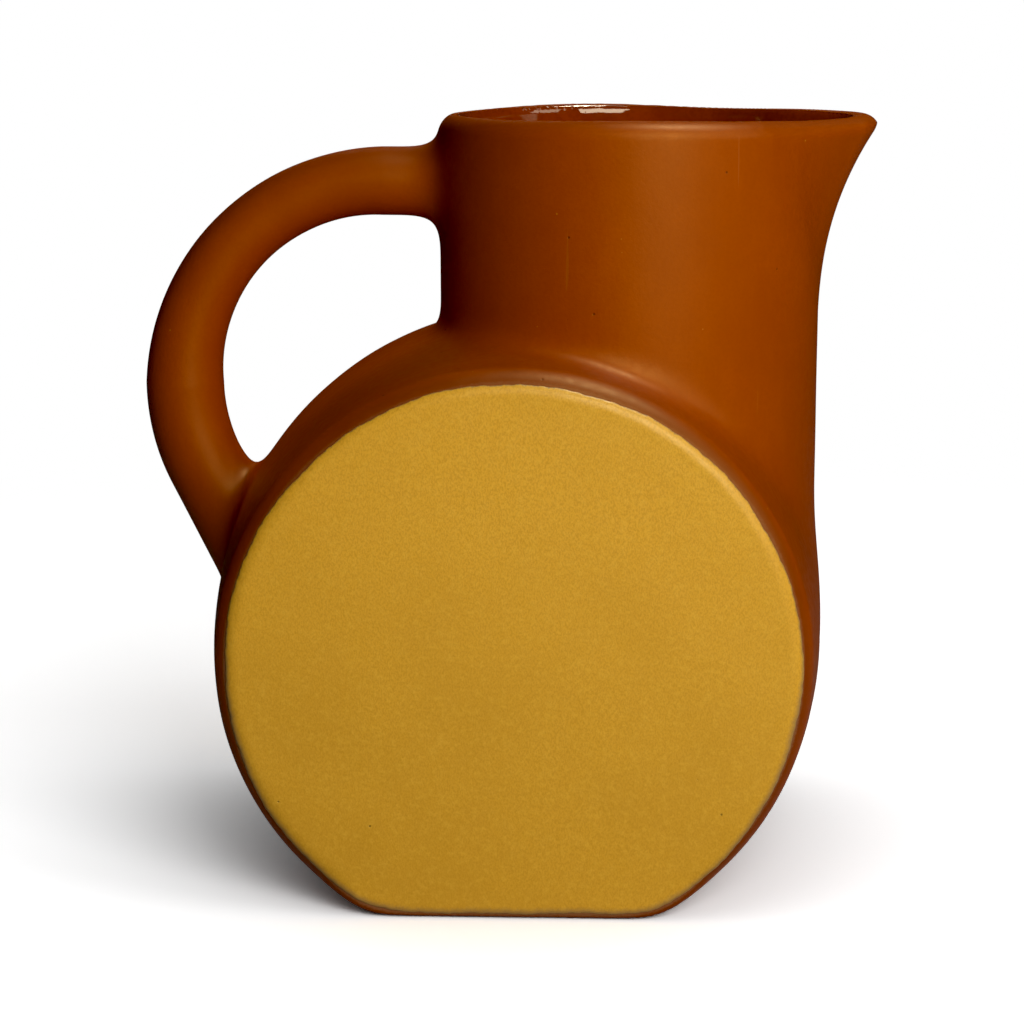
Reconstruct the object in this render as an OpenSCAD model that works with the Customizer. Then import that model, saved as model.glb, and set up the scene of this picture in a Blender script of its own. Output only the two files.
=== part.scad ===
// Drum-shaped ceramic pitcher.
// A barrel-sided clay drum lies on its side on a flat foot, with a round neck standing on its
// shoulder, a pulled pouring lip on one side and a loop handle on the other.
// X runs from the handle to the lip, Y along the drum's axis, Z up. The foot is at Z = 0.

/* [Drum] */
// Largest outside radius of the drum, half way between its faces
drum_r = 80.7; // [80:0.1:84]
// Distance between the two clay faces
drum_depth = 128.8; // [120:0.4:134]
// Height of the drum's axis above the foot
axis_h = 65.6; // [64:0.1:68]
// How much smaller the drum's radius is at a face than half way between the faces
bulge = 6.2; // [5:0.2:8]
// Radius of the rounded edge of each face
edge_r = 2.2; // [1.5:0.1:3]
// Thickness of the clay in the drum's faces, side and foot
wall = 6; // [5:0.25:7]

/* [Neck] */
// Outside radius of the neck
neck_r = 50.3; // [49:0.1:51]
// Distance of the neck's centre line from the drum's axis
neck_x = 29; // [27:0.25:29.5]
// Height of the rim above the foot
rim_h = 200.6; // [195:0.1:206]
// Thickness of the clay in the neck
neck_wall = 5; // [4:0.25:6]
// How far the pouring lip reaches past the neck's cylinder at the rim
lip_reach = 15.2; // [10:0.2:18]
// Height at which the pouring lip starts to swell out of the neck
lip_start = 138; // [125:1:145]
// Outside radius of the pouring lip's nose, seen from above
nose_r = 14; // [12:0.5:18]

/* [Handle] */
// Height of the handle's centre line where it leaves the neck
handle_h = 182.5; // [178:0.1:184]
// Radius of the handle's upper bend, along its centre line
upper_bend_r = 54.2; // [52:0.2:56]
// Radius of the handle's lower bend, along its centre line
lower_bend_r = 52; // [48:0.5:56]
// Angle that the lower bend turns towards the drum
lower_turn = 26; // [24:0.5:28]
// Distance from the drum's axis out to the centre line at the handle's widest
handle_out = 90.9; // [88:0.1:94]
// Half thickness of the handle at the neck
handle_top_r = 9.1; // [8:0.1:10]
// Half thickness of the handle half way round its upper bend
handle_mid_r = 8.8; // [8:0.1:10]
// Half thickness of the handle from its lower bend down
handle_low_r = 10.4; // [9:0.1:11]

/* [Glaze] */
// Thickness of each glaze coat
glaze_t = 0.4; // [0.3:0.05:0.8]
// Radius of the face glaze's two corners above the foot
corner_r = 40; // [30:1:45]

/* [Hidden] */
$fn = 96;

half_depth = drum_depth / 2;
// The drum's side is an arc of this radius, whose centre lies beyond the drum's axis
bulge_r = (half_depth * half_depth + bulge * bulge) / (2 * bulge);
bulge_x = drum_r - bulge_r;
// Radius of the flat part of a face
flat_r = bulge_x + sqrt(pow(bulge_r - edge_r, 2) - pow(half_depth - edge_r, 2));
// Angle at which the side's arc runs into the rounded edge of a face
edge_angle = asin((half_depth - edge_r) / (bulge_r - edge_r));
inner_half_depth = half_depth - wall;
lip_round = neck_wall / 2;
neck_base = axis_h;
lip_top = rim_h - lip_round;
lip_flare = 2.7;
handle_inside = 14;
over = 40;
side_steps = 16;
edge_steps = 5;
ring_points = 72;
handle_sides = 24;

clay = "#9a4a1c";
yellow = "#d9a52b";
liner = "#6e2412";

function arc(centre, r, from, to, steps) =
    [for (i = [0:steps]) let (a = from + (to - from) * i / steps) centre + r * [cos(a), sin(a)]];

// Triangles between rings of m points each; the last ring joins the first if closed
function ring_faces(n, m, closed) =
    [for (i = [0:n - (closed ? 1 : 2)], j = [0:m - 1], k = [0, 1])
        let (a = i * m + j, b = i * m + (j + 1) % m,
             c = ((i + 1) % n) * m + j, d = ((i + 1) % n) * m + (j + 1) % m)
        k == 0 ? [a, c, b] : [b, c, d]];

function flatten(lists) = [for (l = lists, p = l) p];

// ---- drum ----

// Radius against distance along the axis, from one face to the other
function drum_outline() = let (x = flat_r, y = half_depth - edge_r)
    concat([[0, -half_depth]],
           arc([x, -y], edge_r, -90, -edge_angle, edge_steps),
           arc([bulge_x, 0], bulge_r, -edge_angle, edge_angle, side_steps),
           arc([x, y], edge_r, edge_angle, 90, edge_steps),
           [[0, half_depth]]);

// The drum's hollow, shrunk by a skin of glaze
function hollow_outline(skin) =
    let (r = bulge_r - wall - skin, y = inner_half_depth - skin, a = asin(y / r))
    concat([[0, -y]], arc([bulge_x, 0], r, -a, a, side_steps), [[0, y]]);

module on_drum_axis() {
    translate([0, 0, axis_h]) rotate([90, 0, 0]) children();
}

module drum_solid() {
    on_drum_axis() rotate_extrude() polygon(drum_outline());
}

module drum_hollow(skin = 0) {
    intersection() {
        on_drum_axis() rotate_extrude() polygon(hollow_outline(skin));
        slab(-half_depth, half_depth, wall + skin, rim_h);
    }
}

// Everything between two distances along Y and two heights
module slab(y0, y1, z0, z1) {
    translate([-2 * drum_r, y0, z0]) cube([4 * drum_r, y1 - y0, z1 - z0]);
}

module face_wall(side) {
    y = side > 0 ? inner_half_depth : -half_depth;
    intersection() {
        drum_solid();
        slab(y, y + wall, 0, rim_h);
    }
}

module front_wall() {
    color(clay) face_wall(-1);
}

module rear_wall() {
    color(clay) face_wall(1);
}

module drum_wall() {
    color(clay) difference() {
        intersection() {
            drum_solid();
            slab(-inner_half_depth, inner_half_depth, wall, rim_h);
        }
        drum_hollow();
        translate([neck_x, 0, axis_h]) cylinder(r = neck_r - neck_wall, h = rim_h);
    }
}

module foot_slab() {
    color(clay) intersection() {
        drum_solid();
        slab(-inner_half_depth, inner_half_depth, 0, wall);
    }
}

// ---- neck and pouring lip ----

// How far the pouring lip stands out of the neck at a height
function reach(z) = z <= lip_start ? 0 :
    lip_reach * pow((min(z, lip_top) - lip_start) / (lip_top - lip_start), lip_flare);

// Distance from the neck's centre line to its wall in the direction a, for a round neck of
// radius r and a nose of radius n that reaches s past it: two circles and their tangents
function plan_radius(a, r, n, s) =
    s <= 0 ? r :
    let (d = r - n + s, tangent = acos((r - n) / d),
         nose_end = atan2(n * sin(tangent), d + n * cos(tangent)))
    a >= tangent ? r :
    a >= nose_end ? r / cos(a - tangent) :
    d * cos(a) + sqrt(n * n - pow(d * sin(a), 2));

function neck_ring(z, inset) =
    [for (j = [0:ring_points - 1])
        let (a = 360 * j / ring_points, from_nose = a > 180 ? 360 - a : a,
             r = plan_radius(from_nose, neck_r - inset, nose_r - inset, reach(z)))
        [neck_x + r * cos(a), r * sin(a), z]];

// Heights that close up towards the rim, where the lip curves most
function neck_heights(top) = concat([neck_base], [for (i = [0:10])
    lip_start + (top - lip_start) * sin(9 * i)]);

module neck_column(inset, top) {
    heights = neck_heights(top);
    rings = [for (z = heights) neck_ring(z, inset)];
    n = len(rings);
    polyhedron(flatten(rings), concat(ring_faces(n, ring_points, false),
        [[for (j = [0:ring_points - 1]) j]],
        [[for (j = [ring_points - 1:-1:0]) (n - 1) * ring_points + j]]));
}

// The neck's wall: up the outside, over the rounded rim and down the inside
module neck_shell() {
    heights = neck_heights(lip_top);
    n = len(heights);
    outside = [for (z = heights) neck_ring(z, 0)];
    rim = [for (i = [1:5]) neck_ring(lip_top + lip_round * sin(30 * i), lip_round * (1 - cos(30 * i)))];
    inside = [for (i = [n - 1:-1:0]) neck_ring(heights[i], neck_wall)];
    rings = concat(outside, rim, inside);
    polyhedron(flatten(rings), ring_faces(len(rings), ring_points, true));
}

module neck() {
    color(clay) difference() {
        neck_shell();
        drum_solid();
    }
}

// ---- handle ----

// Half thickness a share t of the way round the upper bend, through its three stated values
function bend_thickness(t) =
    let (square = 2 * (handle_top_r + handle_low_r - 2 * handle_mid_r))
    handle_top_r + (handle_low_r - handle_top_r - square) * t + square * t * t;

// Stations [x, z, heading, half thickness] down the handle's centre line
function handle_line() =
    let (bend_z = handle_h - upper_bend_r, upper_x = -handle_out + upper_bend_r,
         lower_x = -handle_out + lower_bend_r, end_a = 180 + lower_turn,
         foot_x = lower_x + lower_bend_r * cos(end_a), foot_z = bend_z + lower_bend_r * sin(end_a))
    concat(
        [for (x = [neck_x - neck_r + handle_inside, neck_x - neck_r - 2])
            [x, handle_h, 180, handle_top_r]],
        [for (i = [0:15]) let (a = 90 + 6 * i)
            [upper_x + upper_bend_r * cos(a), bend_z + upper_bend_r * sin(a), a + 90,
             bend_thickness(i / 15)]],
        [for (i = [1:5]) let (a = 180 + lower_turn * i / 5)
            [lower_x + lower_bend_r * cos(a), bend_z + lower_bend_r * sin(a), a + 90, handle_low_r]],
        [[foot_x + over * sin(lower_turn), foot_z - over * cos(lower_turn),
          270 + lower_turn, handle_low_r]]);

module handle_bar() {
    line = handle_line();
    n = len(line);
    points = [for (s = line, j = [0:handle_sides - 1]) let (a = 360 * j / handle_sides)
        [s[0] - s[3] * cos(a) * sin(s[2]), s[3] * sin(a), s[1] + s[3] * cos(a) * cos(s[2])]];
    polyhedron(points, concat(ring_faces(n, handle_sides, false),
        [[for (j = [0:handle_sides - 1]) j]],
        [[for (j = [handle_sides - 1:-1:0]) (n - 1) * handle_sides + j]]));
}

module handle() {
    color(clay) difference() {
        handle_bar();
        neck_column(0, rim_h);
        drum_solid();
    }
}

// ---- glaze ----

// A face's flat disc, cut off a little above the foot, with two rounded corners
module face_outline() {
    low = -(axis_h - edge_r);
    corner_y = low + corner_r;
    corner_x = sqrt(pow(flat_r - corner_r, 2) - corner_y * corner_y);
    reach_out = [corner_x, corner_y] / (flat_r - corner_r);
    difference() {
        intersection() {
            circle(r = flat_r);
            translate([-drum_r, low]) square([2 * drum_r, 2 * drum_r]);
        }
        for (side = [-1, 1]) mirror([side < 0 ? 1 : 0, 0]) difference() {
            polygon([[corner_x, corner_y], [corner_x, low - corner_r],
                     [corner_x + 2 * corner_r, low - corner_r], [corner_x, corner_y] + 2 * corner_r * reach_out]);
            translate([corner_x, corner_y]) circle(r = corner_r);
        }
    }
}

module face_glaze(side) {
    translate([0, side * (half_depth + (side < 0 ? 0 : glaze_t)), axis_h])
        rotate([90, 0, 0]) linear_extrude(glaze_t) face_outline();
}

module front_glaze() {
    color(yellow) face_glaze(-1);
}

module rear_glaze() {
    color(yellow) face_glaze(1);
}

// The whole hollow of the pitcher, shrunk by a skin of glaze
module pitcher_hollow(skin, top) {
    drum_hollow(skin);
    neck_column(neck_wall + skin, top);
}

module inner_glaze() {
    color(liner) difference() {
        pitcher_hollow(0, lip_top);
        pitcher_hollow(glaze_t, rim_h);
    }
}

front_wall();
rear_wall();
drum_wall();
foot_slab();
neck();
handle();
front_glaze();
rear_glaze();
inner_glaze();
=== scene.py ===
"""Looks of the ceramic pitcher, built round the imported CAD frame.

The clay is one smooth signed distance field in millimetres, meshed once and cut into the potter's
pieces, so that the blends between neck, drum and handle run on across the joints. The glazes are
skins laid on that clay.
"""
import math

import bmesh
import bpy
import numpy as np
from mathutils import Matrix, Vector


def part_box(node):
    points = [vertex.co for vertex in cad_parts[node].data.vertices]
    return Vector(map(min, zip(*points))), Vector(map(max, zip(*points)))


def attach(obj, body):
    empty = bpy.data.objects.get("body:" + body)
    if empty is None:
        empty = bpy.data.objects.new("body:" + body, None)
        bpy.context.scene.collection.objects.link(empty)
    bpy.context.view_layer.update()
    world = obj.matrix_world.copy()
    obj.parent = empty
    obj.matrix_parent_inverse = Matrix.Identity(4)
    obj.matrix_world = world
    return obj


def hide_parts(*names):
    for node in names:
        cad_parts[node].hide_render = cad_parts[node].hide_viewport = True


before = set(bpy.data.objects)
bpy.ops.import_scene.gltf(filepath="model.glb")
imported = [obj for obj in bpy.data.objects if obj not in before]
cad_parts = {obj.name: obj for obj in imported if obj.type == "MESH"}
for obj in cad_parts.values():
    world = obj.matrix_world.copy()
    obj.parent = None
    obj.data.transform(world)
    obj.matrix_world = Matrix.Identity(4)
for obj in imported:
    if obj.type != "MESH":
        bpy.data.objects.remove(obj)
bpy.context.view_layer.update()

MM = 0.001
VOXEL = 1.0

# ---------------------------------------------------------------- sizes, in mm, from the frame


def node_box(node):
    low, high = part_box(node)
    return np.array(low) / MM, np.array(high) / MM


FRONT_LOW, FRONT_HIGH = node_box("front_wall")
DRUM_HIGH = node_box("drum_wall")[1]
NECK_LOW, NECK_HIGH = node_box("neck")
HANDLE_LOW, HANDLE_HIGH = node_box("handle")

HALF_DEPTH = -FRONT_LOW[1]
WALL = FRONT_HIGH[1] - FRONT_LOW[1]
DRUM_R = DRUM_HIGH[0]
FACE_R = FRONT_HIGH[0]
AXIS_Z = FRONT_HIGH[2] - FACE_R
NECK_R = NECK_HIGH[1]
NECK_X = NECK_LOW[0] + NECK_R
RIM_Z = NECK_HIGH[2]
LIP_REACH = NECK_HIGH[0] - NECK_X - NECK_R
HANDLE_LOW_R = HANDLE_HIGH[1]
HANDLE_OUT = -HANDLE_LOW[0] - HANDLE_LOW_R

NECK_WALL = 5.0
HANDLE_TOP_R = 9.1       # the bar's radius at the neck, and half way along
HANDLE_MID_R = 8.8
HANDLE_Z = HANDLE_HIGH[2] - HANDLE_TOP_R
UPPER_BEND_R = 54.2
LOWER_BEND_R = 52.0
LOWER_TURN = math.radians(26)
LIP_START = 138.0        # height at which the neck begins to swell into the lip
LIP_FLARE = 2.7
NOSE_R = 14.0            # radius of the lip's nose in plan

# The drum's side is an arc through its widest radius and its radius at the inner side of a face
SIDE_Y = HALF_DEPTH - WALL
SIDE_DROP = DRUM_R - FACE_R
SIDE_ARC = (SIDE_Y ** 2 + SIDE_DROP ** 2) / (2 * SIDE_DROP)

FACE_EDGE = 5.6          # rounding between a face and the drum's side
FACE_FOOT_EDGE = 1.1     # the same where the face meets the foot
FOOT_EDGE = 1.1          # rounding round the flat foot
FOOT_BLEND = 6.0         # how softly the round outline runs into the foot
HOLLOW_EDGE = 6.0        # rounding inside the drum, and how softly drum and neck run together there
HOLLOW_BLEND = 4.0
SHOULDER_BLEND = 9.0     # how softly the neck runs into the drum
HANDLE_BLEND = 12.0      # how softly the bar runs into the neck, and how much less into the drum
HANDLE_BLEND_DROP = 4.0
LOOP_BLEND = 0.5         # how much softer inside the handle's loop than outside it, at the neck
LOOP_BLEND_GAIN = 3.5    # and how much more so at the drum
LOOP_WIDTH = 6.0         # and how far from the bar's centre line it is mostly reached
LIP_OUTER = 4.4          # rounding of the lip, outside and inside
LIP_INNER = 1.8
LIP_DROP = 1.0           # how much lower the rim is at the lip's tip
LIP_DROP_START = 28.0    # how far from the neck's middle the rim begins to drop, and has dropped
LIP_DROP_END = 56.0
RIM_TWIST = 10.0         # depth over which the drop lessens from the front of the rim to the back
HAND_WAVE = 0.10         # unevenness of the clay left by the potter's hands
HAND_WAVE_LENGTH = 70.0
RIPPLE = 0.04
RIPPLE_LENGTH = 22.0
GLAZE_T = 0.45
GLAZE_INSET = 2.1        # from the drum's side in to the edge of a face's glaze
EDGE_DROP = FACE_EDGE - math.sqrt(FACE_EDGE ** 2 - (FACE_EDGE - GLAZE_INSET) ** 2)
GLAZE_SAG = 0.55         # how much lower than centred the glaze lies on its face
GLAZE_BEAD = 0.12        # how much thicker, as a share, the glaze is in the bead inside its edge
BEAD_AT = 2.2            # how far inside
BEAD_WIDTH = 1.2
GLAZE_ROLL = 1.5         # width of the glaze's rolled edge
LINER_T = 0.4
LINER_EDGE_T = 0.05
LINER_TOP = 0.7          # how far up the lip's inner rounding the liner glaze runs
LINER_FINE = 160.0       # the liner glaze's mesh is coarser below this height
LINER_COARSE = 0.35      # share of its triangles that it keeps there

# how far in from a face glaze's edge its rings of points lie: close ones first, then evenly spaced ones
RING_INSETS = [0, 0.04, 0.1, 0.2, 0.32, 0.46, 0.62, 0.8, 1.0, 1.25,
               1.6, 2.0, 2.5, 3.1, 3.8, 4.6, 5.5, 6.6, 8.0]
RING_STEP = 1.8
RING_REACH = 60.0        # less than from the axis to the foot, so that no ring passes the middle
FAR = 300.0              # further out than any clay, for the boxes that cut it

# ---------------------------------------------------------------- signed distances, in mm


def smooth_min(a, b, k):
    h = np.maximum(k - np.abs(a - b), 0) / k
    return np.minimum(a, b) - h ** 3 * k / 6


def smooth_max(a, b, k):
    return -smooth_min(-a, -b, k)


def round_max(a, b, r):
    """Both a and b, with their shared edge rounded to radius r."""
    u = np.maximum(a + r, 0)
    v = np.maximum(b + r, 0)
    return np.minimum(np.maximum(a, b), -r) + np.sqrt(u * u + v * v)


def smooth_step(x, low, high):
    t = np.clip((x - low) / (high - low), 0, 1)
    return t * t * (3 - 2 * t)


def ripple(x, y, z, scale, seed):
    """Smooth hand-made unevenness between about -1 and 1, with features about scale mm across."""
    rng = np.random.default_rng(seed)
    total = np.zeros_like(x)
    for _ in range(6):
        d = rng.normal(size=3)
        d *= rng.uniform(0.7, 1.4) * 2 * math.pi / scale / np.linalg.norm(d)
        total += np.sin(d[0] * x + d[1] * y + d[2] * z + rng.uniform(0, 2 * math.pi))
    return total / 3


def drum_side(x, y, z, inset=0.0):
    rho = np.sqrt(x * x + (z - AXIS_Z) ** 2)
    centre = DRUM_R - SIDE_ARC
    return np.sqrt((rho - centre) ** 2 + y * y) - SIDE_ARC + inset


def drum_outer(x, y, z):
    around = smooth_max(drum_side(x, y, z), -z, FOOT_BLEND)
    edge = FACE_FOOT_EDGE + (FACE_EDGE - FACE_FOOT_EDGE) * smooth_step(z, 1, 12)
    return round_max(around, np.abs(y) - HALF_DEPTH, edge)


def drum_hollow(x, y, z):
    around = smooth_max(drum_side(x, y, z, WALL), WALL - z, FOOT_BLEND)
    return round_max(around, np.abs(y) - SIDE_Y, HOLLOW_EDGE)


def lip_reach(z):
    t = np.clip((z - LIP_START) / (RIM_Z - NECK_WALL / 2 - LIP_START), 0, 1)
    return LIP_REACH * t ** LIP_FLARE


def neck_side(x, y, z, inset=0.0):
    """Distance from the neck's wall. In plan it is a circle, a smaller nose circle that reaches
    past it, and the straight sides that touch both."""
    px = x - NECK_X
    py = np.abs(y)
    big = NECK_R - inset
    nose = NOSE_R - 0.45 * inset
    out = np.maximum(lip_reach(z), 1e-6)
    d = big + out - nose - 0.55 * inset * smooth_step(out, 0, 8)
    d = np.maximum(d, big - nose + 1e-6)
    cos_t = (big - nose) / d
    sin_t = np.sqrt(1 - cos_t ** 2)
    along = -px * sin_t + py * cos_t
    side = px * cos_t + py * sin_t - big
    from_big = np.hypot(px, py) - big
    from_nose = np.hypot(px - d, py) - nose
    # along runs down the straight side from the big circle (0) to the nose (-d * sin_t)
    return np.where(along > 0, from_big, np.where(along < -d * sin_t, from_nose, side))


def rim_height(x, y):
    """The rim is cut by hand, so its height wavers a little on its way round."""
    a = np.arctan2(y, x - NECK_X)
    drop = LIP_DROP * smooth_step(x - NECK_X, LIP_DROP_START, LIP_DROP_END)
    level = RIM_Z - drop * (1 - 0.5 * np.tanh(y / RIM_TWIST))
    return level + 0.42 * np.cos(a - 1.2) + 0.3 * np.cos(3 * a - 0.2) + 0.27 * np.cos(4 * a - 0.7)


def handle_line(x, z):
    """Where a point lies beside the bent bar's centre line: how far outside the bend, and how far
    down the bar, from 0 at the neck to 1 at the drum."""
    bend_z = HANDLE_Z - UPPER_BEND_R
    upper_x = -HANDLE_OUT + UPPER_BEND_R
    lower_x = -HANDLE_OUT + LOWER_BEND_R
    end = math.pi + LOWER_TURN
    end_x = lower_x + LOWER_BEND_R * math.cos(end)
    end_z = bend_z + LOWER_BEND_R * math.sin(end)
    down = (math.sin(LOWER_TURN), -math.cos(LOWER_TURN))

    t = np.clip(1 - np.arctan2(z - bend_z, upper_x - x) / (math.pi / 2), 0, 1)
    t = np.where(z < bend_z, 1.0, np.where(x > upper_x, 0.0, t))
    upper = np.hypot(x - upper_x, z - bend_z) - UPPER_BEND_R
    lower = np.hypot(x - lower_x, z - bend_z) - LOWER_BEND_R
    past_end = (x - end_x) * down[0] + (z - end_z) * down[1]
    straight = (x - end_x) * down[1] - (z - end_z) * down[0]
    outside = np.where(
        z >= bend_z,
        np.where(x > upper_x, z - HANDLE_Z, upper),
        np.where(past_end > 0, straight, lower),
    )
    return outside, t


def handle_bar(x, y, z):
    """Distance from the bent bar: straight out of the neck, two arcs, and straight to the drum."""
    outside, t = handle_line(x, z)
    square = 2 * (HANDLE_TOP_R + HANDLE_LOW_R - 2 * HANDLE_MID_R)
    thick = HANDLE_TOP_R + (HANDLE_LOW_R - HANDLE_TOP_R - square) * t + square * t * t
    return np.hypot(outside, y) - thick


def ended_bar(x, y, z):
    """The bar, ended inside the neck's wall and inside the drum's wall."""
    ends = np.maximum(x - (NECK_X - NECK_R + NECK_WALL / 2), -WALL / 2 - drum_side(x, y, z))
    return np.maximum(handle_bar(x, y, z), ends)


def handle_blend(x, z):
    """How softly the bar runs into neck and drum: more so on the inside of the handle's loop."""
    outside, t = handle_line(x, z)
    loop = (LOOP_BLEND + LOOP_BLEND_GAIN * t) * np.tanh(outside / LOOP_WIDTH)
    return HANDLE_BLEND - HANDLE_BLEND_DROP * t - loop


def body(x, y, z):
    """The whole outside, blended, before the rim is cut."""
    drum = drum_outer(x, y, z)
    neck = np.maximum(neck_side(x, y, z), AXIS_Z - z)
    joined = smooth_min(drum, neck, SHOULDER_BLEND)
    return smooth_min(joined, ended_bar(x, y, z), handle_blend(x, z))


def hollow(x, y, z):
    return smooth_min(drum_hollow(x, y, z), np.maximum(neck_side(x, y, z, NECK_WALL), AXIS_Z - z),
                      HOLLOW_BLEND)


def clay(x, y, z):
    waves = HAND_WAVE * ripple(x, y, z, HAND_WAVE_LENGTH, 3) + RIPPLE * ripple(x, y, z, RIPPLE_LENGTH, 4)
    outside = body(x, y, z) - waves
    foot = round_max(outside, -z, FOOT_EDGE)
    topped = round_max(foot, z - rim_height(x, y), LIP_OUTER)
    return round_max(topped, -hollow(x, y, z), LIP_INNER)


# ---------------------------------------------------------------- meshing

CORNERS = [(i, j, k) for i in (0, 1) for j in (0, 1) for k in (0, 1)]
EDGES = [(a, b) for a in range(8) for b in range(8)
         if a < b and sum(abs(p - q) for p, q in zip(CORNERS[a], CORNERS[b])) == 1]


def sample(field, axes):
    """The field at every point of a grid, one slice at a time."""
    values = np.empty([len(a) for a in axes], np.float32)
    y, z = np.meshgrid(axes[1], axes[2], indexing="ij")
    for i, x in enumerate(axes[0]):
        values[i] = field(np.full_like(y, x), y, z)
    return values


def cell_points(values, cells):
    """One point per crossed cell, the mean of where its edges are crossed, in cells."""
    corner = np.stack([values[tuple((cells + c).T)] for c in CORNERS], 1).astype(float)
    total = np.zeros((len(cells), 3))
    hits = np.zeros(len(cells))
    for a, b in EDGES:
        va, vb = corner[:, a], corner[:, b]
        crossed = (va < 0) != (vb < 0)
        t = np.where(crossed, va / np.where(crossed, va - vb, 1), 0)[:, None]
        point = np.array(CORNERS[a]) * (1 - t) + np.array(CORNERS[b]) * t
        total += point * crossed[:, None]
        hits += crossed
    return cells + total / hits[:, None]


def surface_net(field, low, high, step):
    """Vertices and quads of the closed surface field = 0 inside a box, one vertex per cell."""
    axes = [np.arange(lo, hi + step, step, dtype=np.float64) for lo, hi in zip(low, high)]
    shape = [len(a) for a in axes]
    values = sample(field, axes)
    inside = values < 0
    count = sum(inside[i:shape[0] - 1 + i, j:shape[1] - 1 + j, k:shape[2] - 1 + k].astype(np.int8)
                for i, j, k in CORNERS)
    cells = np.argwhere((count > 0) & (count < 8))
    index = np.full([s - 1 for s in shape], -1, np.int64)
    index[tuple(cells.T)] = np.arange(len(cells))
    points = cell_points(values, cells) * step + np.array([a[0] for a in axes])

    quads = []
    for axis in range(3):
        u, v = (axis + 1) % 3, (axis + 2) % 3
        here = [slice(1, None) if n != axis else slice(None, -1) for n in range(3)]
        ahead = [slice(1, None)] * 3
        first, second = inside[tuple(here)], inside[tuple(ahead)]
        edges = np.argwhere(first != second)
        edges[:, [u, v]] += 1
        leaving = first[first != second]
        ring = []
        for du, dv in ((-1, -1), (0, -1), (0, 0), (-1, 0)):
            cell = edges.copy()
            cell[:, u] += du
            cell[:, v] += dv
            ring.append(index[tuple(cell.T)])
        ring = np.stack(ring, 1)
        ring[~leaving] = ring[~leaving][:, ::-1]
        quads.append(ring)
    return points, np.concatenate(quads)


def gradient(field, points, reach=0.05):
    g = np.empty_like(points)
    for n in range(3):
        offset = np.zeros(3)
        offset[n] = reach
        ahead, behind = points + offset, points - offset
        g[:, n] = (field(*ahead.T) - field(*behind.T)) / (2 * reach)
    return g


def unit_gradient(field, points):
    g = gradient(field, points)
    return g / np.maximum(np.linalg.norm(g, axis=1), 1e-9)[:, None]


def settle(field, points, quads, rounds=3, most=0.6):
    """Evens out the net and moves its vertices onto field = 0."""
    a = quads.reshape(-1)
    b = np.roll(quads, -1, 1).reshape(-1)
    n = len(points)
    degree = np.bincount(a, minlength=n) + np.bincount(b, minlength=n)
    for turn in range(rounds + 1):
        if turn:
            mean = np.stack([np.bincount(a, points[b, c], n) + np.bincount(b, points[a, c], n)
                             for c in range(3)], 1) / degree[:, None]
            points = points + 0.5 * (mean - points)
        for _ in range(2):
            g = gradient(field, points)
            size = np.maximum((g * g).sum(1), 0.05)
            step = -(field(*points.T) / size)[:, None] * g
            length = np.linalg.norm(step, axis=1)[:, None]
            points = points + step * np.minimum(1, most / np.maximum(length, 1e-9))
    return points


def mesh_object(name, points, faces):
    """A mesh object from points in mm and faces as an array or a list."""
    mesh = bpy.data.meshes.new(name)
    mesh.from_pydata((points * MM).tolist(), [], faces.tolist() if hasattr(faces, "tolist") else faces)
    mesh.update()
    piece = bpy.data.objects.new(name, mesh)
    bpy.context.scene.collection.objects.link(piece)
    return piece


def solid(name, field, low, high, step):
    points, quads = surface_net(field, low, high, step)
    return mesh_object(name, settle(field, points, quads), quads)


def box_object(name, low, high):
    points = np.array([[(low, high)[c[n]][n] for n in range(3)] for c in CORNERS], float)
    faces = [(0, 1, 3, 2), (4, 6, 7, 5), (0, 4, 5, 1), (2, 3, 7, 6), (0, 2, 6, 4), (1, 5, 7, 3)]
    return mesh_object(name, points, faces)


def copy_of(piece, name):
    made = piece.copy()
    made.data = piece.data.copy()
    made.name = name
    bpy.context.scene.collection.objects.link(made)
    return made


def cut(piece, cutter, operation, name):
    """A new object: piece with the boolean applied. piece itself is kept."""
    made = copy_of(piece, name)
    modifier = made.modifiers.new("cut", "BOOLEAN")
    modifier.operation = operation
    modifier.solver = "MANIFOLD"
    modifier.object = cutter
    bpy.context.view_layer.update()
    result = bpy.data.meshes.new_from_object(made.evaluated_get(bpy.context.evaluated_depsgraph_get()))
    made.modifiers.clear()
    made.data = result
    result.name = name
    return made


def keep_main_part(mesh):
    """Deletes the slivers that a boolean can leave beside the one real part."""
    bm = bmesh.new()
    bm.from_mesh(mesh)
    unseen = set(bm.verts)
    parts = []
    while unseen:
        part = {unseen.pop()}
        front = list(part)
        while front:
            vertex = front.pop()
            for edge in vertex.link_edges:
                other = edge.other_vert(vertex)
                if other in unseen:
                    unseen.discard(other)
                    part.add(other)
                    front.append(other)
        parts.append(part)
    main = max(parts, key=len)
    bmesh.ops.delete(bm, geom=[v for part in parts if part is not main for v in part], context="VERTS")
    bm.to_mesh(mesh)
    bm.free()


def remove(*objects):
    for o in objects:
        bpy.data.objects.remove(o, do_unlink=True)


def read(items, key, kind=float, width=1):
    """One property of every vertex, face or loop, as an array with a row for each."""
    values = np.empty(len(items) * width, kind)
    items.foreach_get(key, values)
    return values.reshape(-1, width) if width > 1 else values


def coordinates(mesh):
    return read(mesh.vertices, "co", width=3) / MM


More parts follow.
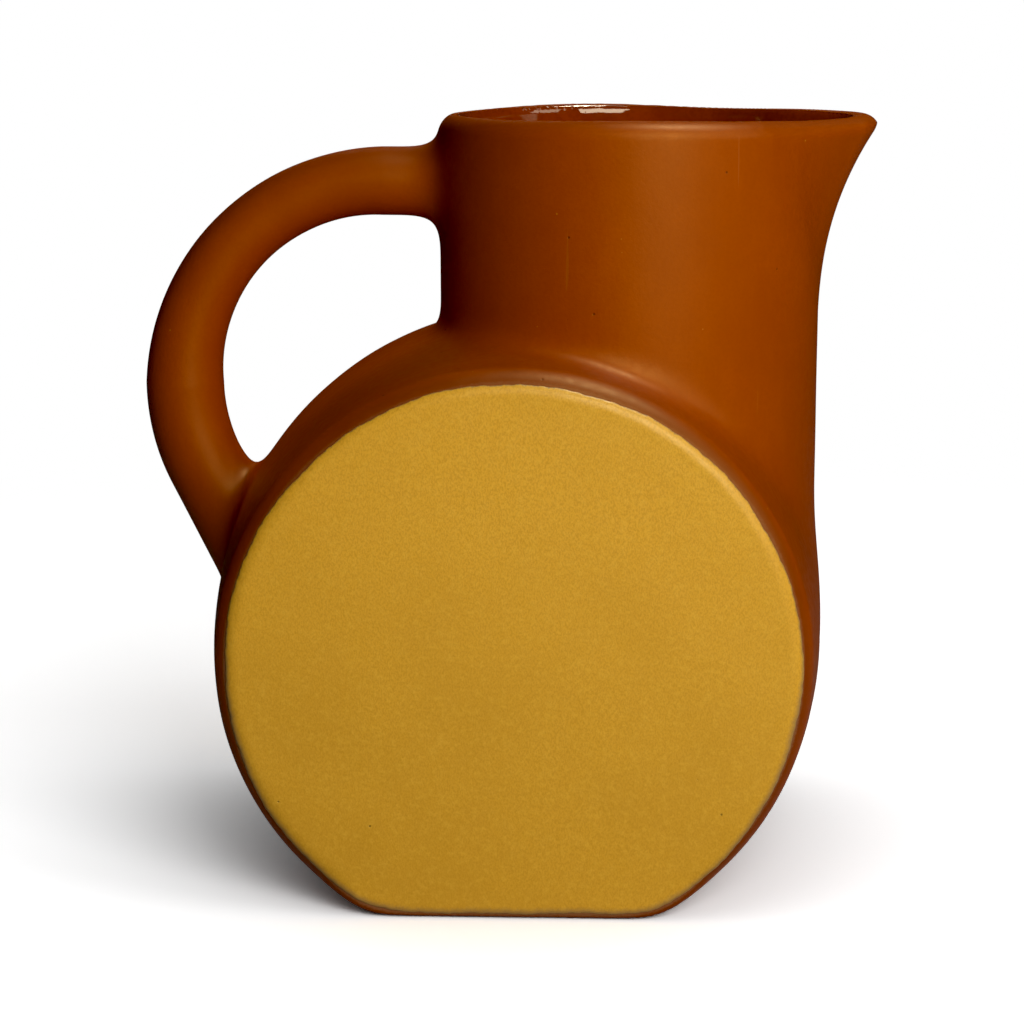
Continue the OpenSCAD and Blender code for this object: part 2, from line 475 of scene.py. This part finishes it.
def shade_by_field(mesh, field, tolerance=0.12):
    """Smooth normals straight from the field where a face lies on it, flat ones on the joints."""
    mesh.polygons.foreach_set("use_smooth", np.ones(len(mesh.polygons), bool))
    smooth = unit_gradient(field, coordinates(mesh))
    centre = read(mesh.polygons, "center", width=3) / MM
    flat = read(mesh.polygons, "normal", width=3)
    loop_vertex = read(mesh.loops, "vertex_index", int)
    loop_face = np.repeat(np.arange(len(mesh.polygons)), read(mesh.polygons, "loop_total", int))
    on_field = np.abs(field(*centre.T)) < tolerance
    smooth, flat = smooth[loop_vertex], flat[loop_face]
    rounded = on_field[loop_face] & ((smooth * flat).sum(1) > 0.3)
    mesh.normals_split_custom_set(np.where(rounded[:, None], smooth, flat).tolist())


# ---------------------------------------------------------------- clay pieces


def handle_region(x, y, z):
    """Negative where clay belongs to the handle: nearer to the bar than to neck or drum."""
    other = np.minimum(neck_side(x, y, z), drum_side(x, y, z))
    return np.maximum(handle_bar(x, y, z), 0) - other


def neck_region(x, y, z):
    return np.maximum(neck_side(x, y, z), 0) - drum_side(x, y, z)


def within(field, low, high):
    def closed(x, y, z):
        sides = [np.maximum(lo - v, v - hi) for v, lo, hi in zip((x, y, z), low, high)]
        return np.maximum(field(x, y, z), np.maximum.reduce(sides))
    return closed


def region_cutter(name, region, low, high):
    """A solid that fills a region inside a box."""
    return solid(name, within(region, low + 2, high - 2), low, high, 2 * VOXEL)


def make_cutters():
    """The bodies that part the clay where the potter's pieces were joined."""
    handle_low = np.array([HANDLE_LOW[0] - 5, -30, AXIS_Z - 5])
    handle_high = np.array([NECK_X - NECK_R + 6, 30, RIM_Z + 3])
    neck_low = np.array([NECK_X - NECK_R - 25, -HALF_DEPTH - 8, AXIS_Z - 20])
    neck_high = np.array([NECK_HIGH[0] + 12, HALF_DEPTH + 8, RIM_Z + 12])
    return {
        "front_wall": box_object("front_cutter", (-FAR, -FAR, -FAR), (FAR, -SIDE_Y, FAR)),
        "rear_wall": box_object("rear_cutter", (-FAR, SIDE_Y, -FAR), (FAR, FAR, FAR)),
        "foot_slab": box_object("foot_cutter", (-FAR, -FAR, -FAR), (FAR, FAR, WALL)),
        "handle": region_cutter("handle_cutter", handle_region, handle_low, handle_high),
        "neck": region_cutter("neck_cutter", neck_region, neck_low, neck_high),
    }


def make_clay():
    """The clay in one, and its six pieces: each cutter takes one off, and the drum's side is left."""
    margin = 3 * VOXEL
    low = np.array([HANDLE_LOW[0], -HALF_DEPTH, 0]) - margin
    high = np.array([NECK_HIGH[0], HALF_DEPTH, RIM_Z]) + margin
    whole = solid("clay", clay, low, high, VOXEL)

    pieces = {}
    left = copy_of(whole, "left")
    for node, cutter in make_cutters().items():
        pieces[node] = cut(left, cutter, "INTERSECT", "clay_" + node)
        rest = cut(left, cutter, "DIFFERENCE", "rest")
        remove(left, cutter)
        left = rest
    left.name = "clay_drum_wall"
    left.data.name = left.name
    pieces["drum_wall"] = left
    for node, piece in pieces.items():
        keep_main_part(piece.data)
        shade_by_field(piece.data, clay)
        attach(piece, "root")
        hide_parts(node)
    return whole, pieces


def triangles(mesh):
    mesh.calc_loop_triangles()
    return read(mesh.loop_triangles, "vertices", int, 3)


def keep_below(points, tris, value):
    """The part of a triangle mesh where value < 0, cut cleanly along value = 0."""
    low = value < 0
    count = low[tris].sum(1)
    kept = [tris[count == 3]]
    crossing = tris[(count == 1) | (count == 2)]
    lone_low = low[crossing].sum(1) == 1
    # turn each so that its lone corner comes first
    lone = np.where(lone_low[:, None], low[crossing], ~low[crossing])
    first = lone.argmax(1)
    rows = np.arange(len(crossing))
    a, b, c = (crossing[rows, (first + n) % 3] for n in range(3))
    pairs = np.sort(np.concatenate([np.stack([a, b], 1), np.stack([a, c], 1)]), 1)
    edges, where = np.unique(pairs, axis=0, return_inverse=True)
    where = where.reshape(-1)
    u, v = edges.T
    t = (value[u] / (value[u] - value[v]))[:, None]
    ab = where[:len(a)] + len(points)
    ac = where[len(a):] + len(points)
    points = np.concatenate([points, points[u] * (1 - t) + points[v] * t])
    kept.append(np.stack([a, ab, ac], 1)[lone_low])
    kept.append(np.stack([ab, b, c], 1)[~lone_low])
    kept.append(np.stack([ab, c, ac], 1)[~lone_low])
    kept = np.concatenate(kept)
    used, kept = np.unique(kept, return_inverse=True)
    return points[used], kept.reshape(-1, 3)


def thin_out(points, tris, free, ratio):
    """The same surface with that share of its triangles. Only the points marked free may go."""
    piece = mesh_object("thinned", points, tris)
    group = piece.vertex_groups.new(name="free")
    group.add(np.flatnonzero(free).tolist(), 1.0, "REPLACE")
    modifier = piece.modifiers.new("thin", "DECIMATE")
    modifier.ratio = ratio
    modifier.vertex_group = group.name
    bpy.context.view_layer.update()
    mesh = bpy.data.meshes.new_from_object(piece.evaluated_get(bpy.context.evaluated_depsgraph_get()))
    points, tris = coordinates(mesh), triangles(mesh)
    remove(piece)
    return points, tris


def skin(name, points, tris, normals, thick):
    """A closed skin of the given thickness on an open surface, with smooth normals on its outside."""
    outer = points + normals * thick[:, None]
    n = len(points)
    edges = np.stack([tris, np.roll(tris, -1, 1)], 2).reshape(-1, 2)
    ordered = np.sort(edges, 1)
    _, where, count = np.unique(ordered, axis=0, return_inverse=True, return_counts=True)
    border = edges[count[where.reshape(-1)] == 1]
    sides = np.stack([border[:, 1], border[:, 0], border[:, 0] + n, border[:, 1] + n], 1)
    every = tris.tolist()
    built = [[v + n for v in f] for f in every] + [f[::-1] for f in every] + sides.tolist()
    piece = mesh_object(name, np.concatenate([points, outer]), built)
    mesh = piece.data
    mesh.polygons.foreach_set("use_smooth", np.ones(len(mesh.polygons), bool))
    loops = np.concatenate([np.array(f) for f in built])
    face_of = np.repeat(np.arange(len(built)), [len(f) for f in built])
    split = read(mesh.polygons, "normal", width=3)[face_of]
    top = loops[:len(tris) * 3] - n
    split[:len(tris) * 3] = vertex_normals(outer, tris)[top]
    mesh.normals_split_custom_set(split.tolist())
    return piece


def vertex_normals(points, tris):
    """Area-weighted normals of a surface of triangles."""
    a, b, c = (points[tris[:, k]] for k in range(3))
    face = np.cross(b - a, c - a)
    total = np.stack([sum(np.bincount(tris[:, k], face[:, m], len(points)) for k in range(3))
                      for m in range(3)], 1)
    return total / np.maximum(np.linalg.norm(total, axis=1), 1e-12)[:, None]


def attribute(piece, name, values):
    piece.data.attributes.new(name, "FLOAT", "POINT").data.foreach_set("value", values.astype(np.float32))


def make_liner(whole):
    """The glaze of the hollow, laid on the clay from the drum's floor up on to the lip."""
    points = coordinates(whole.data)
    tris = triangles(whole.data)
    top = LINER_TOP + 0.2 * ripple(*points.T, 25, 7)
    points, tris = keep_below(points, tris, hollow(*points.T) - top)
    points, tris = thin_out(points, tris, points[:, 2] < LINER_FINE, LINER_COARSE)
    below_edge = LINER_TOP - hollow(*points.T)
    thick = LINER_EDGE_T + (LINER_T - LINER_EDGE_T) * smooth_step(below_edge, 0, LINER_TOP)
    piece = skin("liner_glaze", points, tris, unit_gradient(clay, points), thick)
    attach(piece, "root")
    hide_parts("inner_glaze")
    return piece


# ---------------------------------------------------------------- face glazes


def face_edge(x, z):
    """How far a point of the face lies outside the drum's outline there; negative on the face."""
    y = np.full_like(x, HALF_DEPTH)
    return smooth_max(drum_side(x, y, z), -z, FOOT_BLEND)


def from_glaze(x, y, z):
    """How far a point of the clay lies from the edge of the nearer face's glaze."""
    upward = (z - AXIS_Z) / np.maximum(np.hypot(x, z - AXIS_Z), 1)
    outside = face_edge(x, z) + GLAZE_INSET + GLAZE_SAG * upward
    return np.maximum(outside, 0) + np.maximum(HALF_DEPTH - EDGE_DROP - np.abs(y), 0)


def glaze_edge(a, seed):
    """How far from the drum's axis a face's glaze ends, at each of the angles a, with its nibbles."""
    nibble = 0.16 * np.sin(7 * a + seed) + 0.12 * np.sin(17 * a + 2 * seed) + 0.07 * np.sin(41 * a + seed)
    nibble += 0.05 * np.sin(97 * a + 3 * seed) + 0.04 * np.sin(151 * a)
    inset = GLAZE_INSET + GLAZE_SAG * np.sin(a)
    low, high = np.full(len(a), 20.0), np.full(len(a), DRUM_R)
    for _ in range(40):
        mid = (low + high) / 2
        outside = face_edge(mid * np.cos(a), AXIS_Z + mid * np.sin(a)) > nibble - inset
        low, high = np.where(outside, low, mid), np.where(outside, mid, high)
    return (low + high) / 2


def face_y(x, z, side):
    """Where the clay's face lies, at points moved on to it from just outside."""
    y = np.full(len(x), side * (HALF_DEPTH + 0.5))
    for _ in range(8):
        slope = (clay(x, y + side * 0.02, z) - clay(x, y - side * 0.02, z)) / 0.04
        y -= side * clay(x, y, z) / np.maximum(slope, 0.3)
    return y


def glaze_thickness(points, from_edge, seed):
    """A rolled edge, a bead just inside it, and a gently uneven pool."""
    roll = np.sqrt(1 - (1 - np.clip(from_edge / GLAZE_ROLL, 0, 1)) ** 2)
    bead = 1 + GLAZE_BEAD * np.exp(-((from_edge - BEAD_AT) / BEAD_WIDTH) ** 2)
    thick = 0.02 + GLAZE_T * roll * bead
    thick += 0.05 * ripple(*points.T, 30, 11 + seed) * smooth_step(from_edge, 1, 5)
    thick += 0.015 * ripple(*points.T, 9, 12 + seed) * smooth_step(from_edge, 1, 3)
    return thick


def ring_triangles(rings, around):
    """Triangles between rings of points that are numbered ring by ring, with one last point as the middle."""
    tris = []
    for i in range(rings - 1):
        here, inner = i * around + np.arange(around), (i + 1) * around + np.arange(around)
        tris.append(np.stack([here, np.roll(here, -1), np.roll(inner, -1)], 1))
        tris.append(np.stack([here, np.roll(inner, -1), inner], 1))
    last = (rings - 1) * around + np.arange(around)
    tris.append(np.stack([last, np.roll(last, -1), np.full(around, rings * around)], 1))
    return np.concatenate(tris)


def make_face_glaze(name, side, node, seed):
    """A pool of glaze on one face, from its rolled, nibbled edge in to the middle."""
    around = 900
    a = np.linspace(0, 2 * math.pi, around, endpoint=False)
    inward = np.append(RING_INSETS, np.arange(RING_INSETS[-1] + RING_STEP, RING_REACH, RING_STEP))
    rings = len(inward)
    radius = glaze_edge(a, seed) - inward[:, None]
    x = np.append(radius * np.cos(a), 0.0)
    z = np.append(AXIS_Z + radius * np.sin(a), AXIS_Z)
    points = np.stack([x, face_y(x, z, side), z], 1)
    from_edge = np.append(np.repeat(inward, around), RING_REACH)
    tris = ring_triangles(rings, around)
    if side > 0:
        tris = tris[:, ::-1]
    thick = glaze_thickness(points, from_edge, seed)
    piece = skin(name, points, tris, unit_gradient(clay, points), thick)
    attribute(piece, "from_edge", np.tile(from_edge, 2))
    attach(piece, "root")
    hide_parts(node)
    return piece


# ---------------------------------------------------------------- materials


class Nodes:
    """Short ways to add and link shader nodes."""

    def __init__(self, name):
        self.material = bpy.data.materials.new(name)
        self.material.use_nodes = True
        self.tree = self.material.node_tree
        self.shader = self.tree.nodes["Principled BSDF"]
        self.position = self.tree.nodes.new("ShaderNodeTexCoord").outputs["Object"]

    def set(self, socket, value):
        if isinstance(value, bpy.types.NodeSocket):
            self.tree.links.new(value, socket)
        else:
            socket.default_value = value

    def height(self):
        """How high a point lies above the floor, in m."""
        node = self.tree.nodes.new("ShaderNodeSeparateXYZ")
        self.set(node.inputs[0], self.position)
        return node.outputs["Z"]

    def math(self, operation, a, b):
        node = self.tree.nodes.new("ShaderNodeMath")
        node.operation = operation
        self.set(node.inputs[0], a)
        self.set(node.inputs[1], b)
        return node.outputs[0]

    def ramp(self, value, low, high, to_low=0.0, to_high=1.0, smooth=True):
        node = self.tree.nodes.new("ShaderNodeMapRange")
        node.interpolation_type = "SMOOTHSTEP" if smooth else "LINEAR"
        self.set(node.inputs["Value"], value)
        for name, number in (("From Min", low), ("From Max", high), ("To Min", to_low), ("To Max", to_high)):
            node.inputs[name].default_value = number
        return node.outputs["Result"]

    def mapped(self, scale=(1, 1, 1), turn=(0, 0, 0)):
        node = self.tree.nodes.new("ShaderNodeMapping")
        self.set(node.inputs["Vector"], self.position)
        node.inputs["Scale"].default_value = scale
        node.inputs["Rotation"].default_value = turn
        return node.outputs["Vector"]

    def noise(self, size, detail=2.0, rough=0.5, vector=None):
        """Noise whose features are about size mm across, centred on 0.5."""
        node = self.tree.nodes.new("ShaderNodeTexNoise")
        self.set(node.inputs["Vector"], vector or self.position)
        node.inputs["Scale"].default_value = 1 / (size * MM)
        node.inputs["Detail"].default_value = detail
        node.inputs["Roughness"].default_value = rough
        return node.outputs["Fac"]

    def spots(self, spacing, radius, share):
        """1 inside scattered round specks of about that radius in mm, 0 elsewhere."""
        cells = self.tree.nodes.new("ShaderNodeTexVoronoi")
        self.set(cells.inputs["Vector"], self.position)
        cells.inputs["Scale"].default_value = 1 / (spacing * MM)
        chosen = self.tree.nodes.new("ShaderNodeSeparateColor")
        self.set(chosen.inputs[0], cells.outputs["Color"])
        near = self.ramp(cells.outputs["Distance"], 0.6 * radius / spacing, 1.3 * radius / spacing, 1.0, 0.0)
        return self.math("MULTIPLY", near, self.math("LESS_THAN", chosen.outputs[0], share))

    def mix(self, factor, a, b):
        node = self.tree.nodes.new("ShaderNodeMix")
        node.data_type = "RGBA"
        self.set(node.inputs["Factor"], factor)
        for socket, value in ((node.inputs[6], a), (node.inputs[7], b)):
            self.set(socket, value if isinstance(value, bpy.types.NodeSocket) else (*value, 1))
        return node.outputs[2]

    def attribute(self, name):
        node = self.tree.nodes.new("ShaderNodeAttribute")
        node.attribute_name = name
        return node.outputs["Fac"]

    def bump(self, height, distance, below=None):
        """A normal bumped by that many mm, on top of the bumps below."""
        node = self.tree.nodes.new("ShaderNodeBump")
        node.inputs["Strength"].default_value = 1.0
        node.inputs["Distance"].default_value = distance * MM
        self.set(node.inputs["Height"], height)
        if below is not None:
            self.set(node.inputs["Normal"], below)
        return node.outputs["Normal"]

    def finish(self, color, rough, normal, **numbers):
        self.set(self.shader.inputs["Base Color"], color)
        self.set(self.shader.inputs["Roughness"], rough)
        self.set(self.shader.inputs["Normal"], normal)
        for name, value in numbers.items():
            self.shader.inputs[name.replace("_", " ")].default_value = value
        return self.material


def terracotta():
    """Smooth fired clay, wiped with a damp sponge: fine grain, clouds, specks and a few scratches."""
    n = Nodes("terracotta")
    clouds = n.noise(38, 3)
    patches = n.noise(7, 3)
    grain = n.noise(0.9, 3, 0.6)
    wipe = n.noise(3.0, 2, 0.5, n.mapped((1.0, 1.0, 0.16)))
    color = n.mix(n.ramp(clouds, 0.3, 0.7), (0.300, 0.046, 0.0005), (0.335, 0.054, 0.0005))
    color = n.mix(n.ramp(patches, 0.3, 0.75, 0.0, 0.35), color, (0.280, 0.041, 0.0005))
    color = n.mix(n.ramp(wipe, 0.35, 0.75, 0.0, 0.16), color, (0.365, 0.066, 0.001))
    color = n.mix(n.ramp(grain, 0.35, 0.7, 0.0, 0.35), color, (0.265, 0.038, 0.0005))
    dark = n.spots(6.5, 0.34, 0.16)
    pale = n.spots(5.2, 0.26, 0.13)
    color = n.mix(n.math("MULTIPLY", dark, 0.7), color, (0.08, 0.012, 0.001))
    color = n.mix(n.math("MULTIPLY", pale, 0.45), color, (0.60, 0.25, 0.04))
    # the clay is darker for some 7 mm round the glaze, and ashen right beside it
    beside = n.attribute("from_glaze")
    cloudy = n.math("ADD", beside, n.ramp(clouds, 0.3, 0.7, -1.0, 1.0))
    color = n.mix(n.ramp(cloudy, 1.0, 7.5, 0.62, 0.0), color, (0.13, 0.022, 0.003))
    ragged = n.math("ADD", beside, n.ramp(n.noise(0.7, 2), 0, 1, -0.6, 0.6, False))
    ash = n.math("MULTIPLY", n.ramp(ragged, 0.0, 1.1, 0.6, 0.0), n.ramp(n.height(), 0.05, 0.13, 1.0, 0.4))
    color = n.mix(ash, color, (0.27, 0.135, 0.06))
    scratch = n.ramp(n.noise(1.6, 1, 0.5, n.mapped((1.0, 1.0, 0.035), (0.5, 0.35, 0.2))), 0.76, 0.79)
    color = n.mix(n.math("MULTIPLY", scratch, 0.12), color, (0.50, 0.20, 0.06))
    rough = n.ramp(n.noise(2.2, 3), 0.3, 0.7, 0.42, 0.50)
    normal = n.bump(grain, 0.035)
    normal = n.bump(n.noise(0.42, 2), 0.02, below=normal)
    normal = n.bump(wipe, 0.03, below=normal)
    normal = n.bump(dark, -0.08, below=normal)
    return n.finish(color, rough, normal, Specular_IOR_Level=0.5, Specular_Tint=(1.0, 0.58, 0.16, 1.0))


def yellow_glaze():
    """Satin golden glaze: mottled, dimpled like orange peel, pinholed, and thin at its edge. It also carries
    painted shade: darker towards the bottom of the face, with its dark edge widened low down.
    """
    n = Nodes("yellow_glaze")
    edge = n.attribute("from_edge")
    peel = n.noise(1.15, 2, 0.55)
    grain = n.noise(0.55, 2, 0.6, n.mapped((1.3, 1.0, 0.8), (0, 0.7, 0)))
    clouds = n.noise(26, 3)
    # painted shade: the glaze is darker towards the bottom of the face and lighter towards its top
    color = n.mix(n.ramp(n.height(), 0.0, 0.13), (0.64, 0.325, 0.026), (0.73, 0.37, 0.030))
    color = n.mix(n.ramp(clouds, 0.3, 0.7, 0.0, 0.35), color, (0.79, 0.41, 0.034))
    color = n.mix(n.ramp(grain, 0.40, 0.66, 0.0, 0.6), color, (0.57, 0.27, 0.018))
    color = n.mix(n.ramp(peel, 0.45, 0.75, 0.0, 0.25), color, (0.84, 0.48, 0.055))
    pinholes = n.spots(7.5, 0.3, 0.2)
    color = n.mix(n.math("MULTIPLY", pinholes, 0.65), color, (0.16, 0.085, 0.01))
    ragged = n.math("ADD", edge, n.ramp(n.noise(0.6, 2), 0, 1, -0.5, 0.5, False))
    # the glaze's thin edge lets the clay show through; low on the face this dark edge is painted wider, as
    # painted shade
    thin = n.math("MULTIPLY", ragged, n.ramp(n.height(), 0.05, 0.12, 0.45, 2.6))
    color = n.mix(n.ramp(thin, -0.1, 1.0, 0.85, 0.0), color, (0.30, 0.165, 0.065))
    rough = n.ramp(n.noise(3.0, 3), 0.3, 0.7, 0.34, 0.44)
    normal = n.bump(peel, 0.06)
    normal = n.bump(grain, 0.035, below=normal)
    normal = n.bump(pinholes, -0.15, below=normal)
    return n.finish(color, rough, normal, Specular_IOR_Level=0.5, Specular_Tint=(1.0, 0.85, 0.5, 1.0))


def brown_glaze():
    """Glossy dark liner glaze, a little wavy, with a few bubbles."""
    n = Nodes("brown_glaze")
    color = n.mix(n.ramp(n.noise(14, 3), 0.3, 0.7), (0.20, 0.026, 0.002), (0.25, 0.036, 0.003))
    color = n.mix(n.ramp(n.noise(1.2, 2), 0.4, 0.7, 0.0, 0.3), color, (0.14, 0.016, 0.001))
    rough = n.ramp(n.noise(5, 2), 0.3, 0.7, 0.05, 0.09)
    normal = n.bump(n.noise(5.5, 2), 0.05)
    normal = n.bump(n.spots(3.4, 0.35, 0.25), 0.12, below=normal)
    return n.finish(color, rough, normal, Specular_IOR_Level=0.8, Specular_Tint=(1.0, 0.85, 0.6, 1.0))


# ---------------------------------------------------------------- floor, light and camera

AIM = (0.0, 0.0, 0.1)    # the middle of the pitcher, in m, at which the lights point
CAMERA_AT = (0.02157, -0.67748, 0.22743)
LOOK_LEFT = 2.0228       # degrees
LOOK_DOWN = 11.2258
LENS = 89.19             # mm, on a sensor 36 mm wide
FLOOR_GAIN = 1.25        # how brightly the floor shows the lights
FLOOR_BOUNCE = 0.4       # how much of them it throws back at the pitcher
FLOOR_GLOW = 0.93          # strength of the floor's painted glow where it lies open
OPEN_REACH = 0.25        # m within which the pitcher's painted shadow darkens the floor's glow
FADE_START = 0.30        # m from the middle of the foot, between which the floor fades to white
FADE_END = 0.60
FILL = 0.01              # faint even light on the pitcher
BLACK = 0.006            # level in the picture that is shown as black, fitted to the photo's darks


def only_for_camera(nodes, seen, other):
    """seen where the camera looks straight at it, other for light bounced off it."""
    path = nodes.tree.nodes.new("ShaderNodeLightPath")
    mix = nodes.tree.nodes.new("ShaderNodeMixShader")
    nodes.set(mix.inputs[0], path.outputs["Is Camera Ray"])
    nodes.set(mix.inputs[1], other)
    nodes.set(mix.inputs[2], seen)
    return mix.outputs[0]


def diffuse(nodes, level):
    node = nodes.tree.nodes.new("ShaderNodeBsdfDiffuse")
    node.inputs["Color"].default_value = (level, level, level, 1)
    return node.outputs[0]


def glow(nodes, strength):
    node = nodes.tree.nodes.new("ShaderNodeEmission")
    nodes.set(node.inputs["Strength"], strength)
    return node.outputs[0]


def painted_floor_glow(nodes):
    """A painted glow on the floor: even where the floor lies open, and painted darker as shadow where the
    pitcher shuts it in.
    """
    node = nodes.tree.nodes.new("ShaderNodeAmbientOcclusion")
    node.inputs["Distance"].default_value = OPEN_REACH
    # painted shadow: the glow is darkened where ambient occlusion finds the pitcher near
    open_part = nodes.math("POWER", node.outputs["AO"], 2.0)
    return glow(nodes, nodes.math("MULTIPLY", open_part, FLOOR_GLOW))


def floor_white():
    """White paper, exposed brighter than the pitcher, with a painted glow and painted shadow round the
    pitcher, that fades to pure white away from it.
    """
    n = Nodes("floor")
    reach = n.tree.nodes.new("ShaderNodeVectorMath")
    reach.operation = "LENGTH"
    n.set(reach.inputs[0], n.position)
    lit_and_glowing = n.tree.nodes.new("ShaderNodeAddShader")
    n.set(lit_and_glowing.inputs[0], diffuse(n, FLOOR_GAIN))
    n.set(lit_and_glowing.inputs[1], painted_floor_glow(n))
    fade = n.tree.nodes.new("ShaderNodeMixShader")
    n.set(fade.inputs[0], n.ramp(reach.outputs["Value"], FADE_START, FADE_END))
    n.set(fade.inputs[1], lit_and_glowing.outputs[0])
    n.set(fade.inputs[2], glow(n, 1.0))
    output = n.tree.nodes["Material Output"]
    n.set(output.inputs["Surface"], only_for_camera(n, fade.outputs[0], diffuse(n, FLOOR_BOUNCE)))
    n.tree.nodes.remove(n.shader)
    return n.material


def make_floor():
    bm = bmesh.new()
    bmesh.ops.create_grid(bm, x_segments=8, y_segments=8, size=4.0)
    mesh = bpy.data.meshes.new("floor")
    bm.to_mesh(mesh)
    bm.free()
    floor = bpy.data.objects.new("floor", mesh)
    bpy.context.scene.collection.objects.link(floor)
    floor.data.materials.append(floor_white())
    return floor


def make_world():
    """White where the camera sees it, and otherwise only a faint fill."""
    world = bpy.data.worlds.new("world")
    bpy.context.scene.world = world
    world.use_nodes = True
    nodes = world.node_tree.nodes
    links = world.node_tree.links
    path = nodes.new("ShaderNodeLightPath")
    strength = nodes.new("ShaderNodeMapRange")
    links.new(path.outputs["Is Camera Ray"], strength.inputs["Value"])
    strength.inputs["To Min"].default_value = FILL
    strength.inputs["To Max"].default_value = 1.0
    links.new(strength.outputs["Result"], nodes["Background"].inputs["Strength"])
    nodes["Background"].inputs["Color"].default_value = (1, 1, 1, 1)


def area_light(name, azimuth, elevation, distance, size, power):
    """A square soft box aimed at the pitcher; azimuth runs from the front towards the lip's side."""
    data = bpy.data.lights.new(name, "AREA")
    data.shape = "RECTANGLE"
    data.size = size
    data.size_y = size
    data.energy = power
    light = bpy.data.objects.new(name, data)
    bpy.context.scene.collection.objects.link(light)
    a, e = math.radians(azimuth), math.radians(elevation)
    away = Vector((math.sin(a) * math.cos(e), -math.cos(a) * math.cos(e), math.sin(e)))
    light.location = Vector(AIM) + distance * away
    light.rotation_euler = (-away).to_track_quat("-Z", "Y").to_euler()
    return light


def keep_off(light, item):
    """Stop the light from lighting one object."""
    others = bpy.data.collections.new(light.name + "_skips")
    others.objects.link(item)
    others.collection_objects[0].light_linking.link_state = "EXCLUDE"
    light.light_linking.receiver_collection = others


def make_lights(floor):
    area_light("key", azimuth=22, elevation=24, distance=0.75, size=0.4, power=4.05)
    area_light("side", azimuth=65, elevation=25, distance=1.0, size=0.4, power=1.6)
    glint = area_light("glint", azimuth=68, elevation=70, distance=1.0, size=0.25, power=7.5)
    glint.visible_diffuse = False
    rear = area_light("rear", azimuth=185, elevation=40, distance=1.2, size=0.6, power=10.0)
    rear.visible_glossy = False
    keep_off(rear, floor)


def make_camera():
    data = bpy.data.cameras.new("camera")
    camera = bpy.data.objects.new("camera", data)
    bpy.context.scene.collection.objects.link(camera)
    data.sensor_width = 36
    data.lens = LENS
    left, down = math.radians(LOOK_LEFT), math.radians(LOOK_DOWN)
    forward = Vector((-math.sin(left) * math.cos(down), math.cos(left) * math.cos(down), -math.sin(down)))
    camera.location = CAMERA_AT
    camera.rotation_euler = forward.to_track_quat("-Z", "Y").to_euler()
    bpy.context.scene.camera = camera


def set_view():
    view = bpy.context.scene.view_settings
    view.view_transform = "Standard"
    view.use_curve_mapping = True
    view.curve_mapping.black_level = (BLACK, BLACK, BLACK)
    view.curve_mapping.update()


# ---------------------------------------------------------------- build

whole, clay_pieces = make_clay()
liner = make_liner(whole)
remove(whole)
front_pool = make_face_glaze("pool_front_glaze", -1, "front_glaze", 1)
rear_pool = make_face_glaze("pool_rear_glaze", 1, "rear_glaze", 4)

terracotta_material = terracotta()
for piece in clay_pieces.values():
    attribute(piece, "from_glaze", from_glaze(*coordinates(piece.data).T))
    piece.data.materials.clear()
    piece.data.materials.append(terracotta_material)
yellow_material = yellow_glaze()
for pool in (front_pool, rear_pool):
    pool.data.materials.append(yellow_material)
liner.data.materials.append(brown_glaze())

make_lights(make_floor())
make_camera()
make_world()
set_view()
